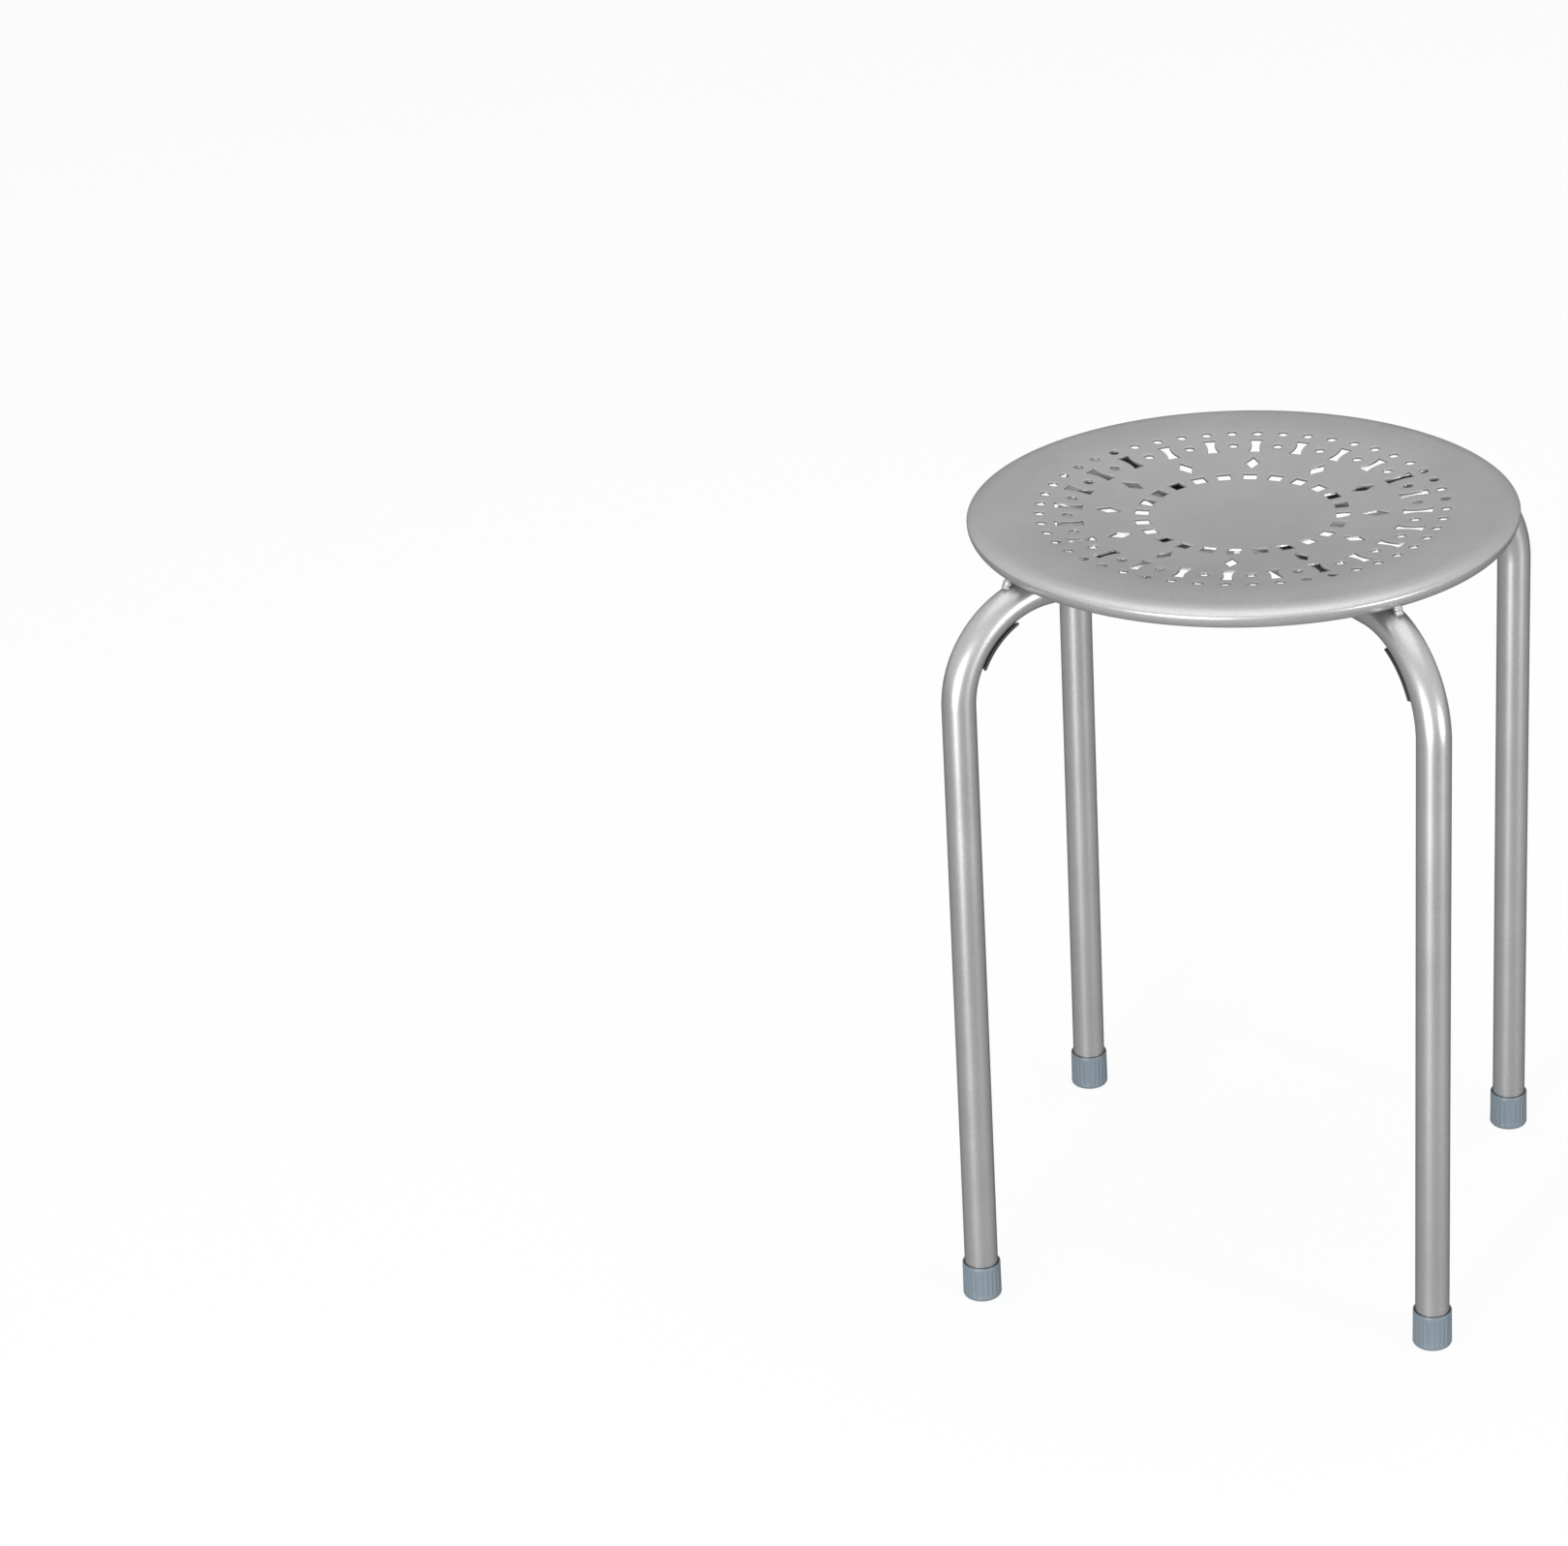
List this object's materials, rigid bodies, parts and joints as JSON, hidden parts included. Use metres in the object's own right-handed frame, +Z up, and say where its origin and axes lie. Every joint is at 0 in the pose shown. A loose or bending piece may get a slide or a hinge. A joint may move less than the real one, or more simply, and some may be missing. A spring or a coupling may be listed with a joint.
{
  "type": "stacking stool",
  "caption": "Round backless stacking stool with a perforated, dished sheet-steel seat on crossed U frames of bent steel tube with ribbed leg caps.",
  "frame": {"origin": "on the floor, under the centre of the seat, between the four leg caps", "axes": "+Z up along the seat's centre line; the long frame's two legs stand on the X axis and the two half frames' legs on the Y axis"},
  "size_m": [0.39, 0.39, 0.445],
  "materials": {
    "seat_steel": "satin silver powder coat",
    "frame_steel": "glossy silver coat",
    "weld_steel": "silver coat over a rippled bead",
    "bumper_plastic": "satin moulded",
    "cap_plastic": "satin moulded, blue-grey",
    "washer_steel": "zinc plated"
  },
  "bodies": {
    "root": {"seat_pan": "seat_steel", "leg_frame_long": "frame_steel", "leg_frame_half_front": "frame_steel", "leg_frame_half_back": "frame_steel", "cross_weld_front": "weld_steel", "cross_weld_back": "weld_steel", "rim_weld_right": "weld_steel", "rim_weld_back": "weld_steel", "rim_weld_left": "weld_steel", "rim_weld_front": "weld_steel", "bend_bumper_right": "bumper_plastic", "bend_bumper_back": "bumper_plastic", "bend_bumper_left": "bumper_plastic", "bend_bumper_front": "bumper_plastic", "leg_cap_right": "cap_plastic", "leg_cap_back": "cap_plastic", "leg_cap_left": "cap_plastic", "leg_cap_front": "cap_plastic", "cap_washer_right": "washer_steel", "cap_washer_back": "washer_steel", "cap_washer_left": "washer_steel", "cap_washer_front": "washer_steel"}
  },
  "joints": []
}
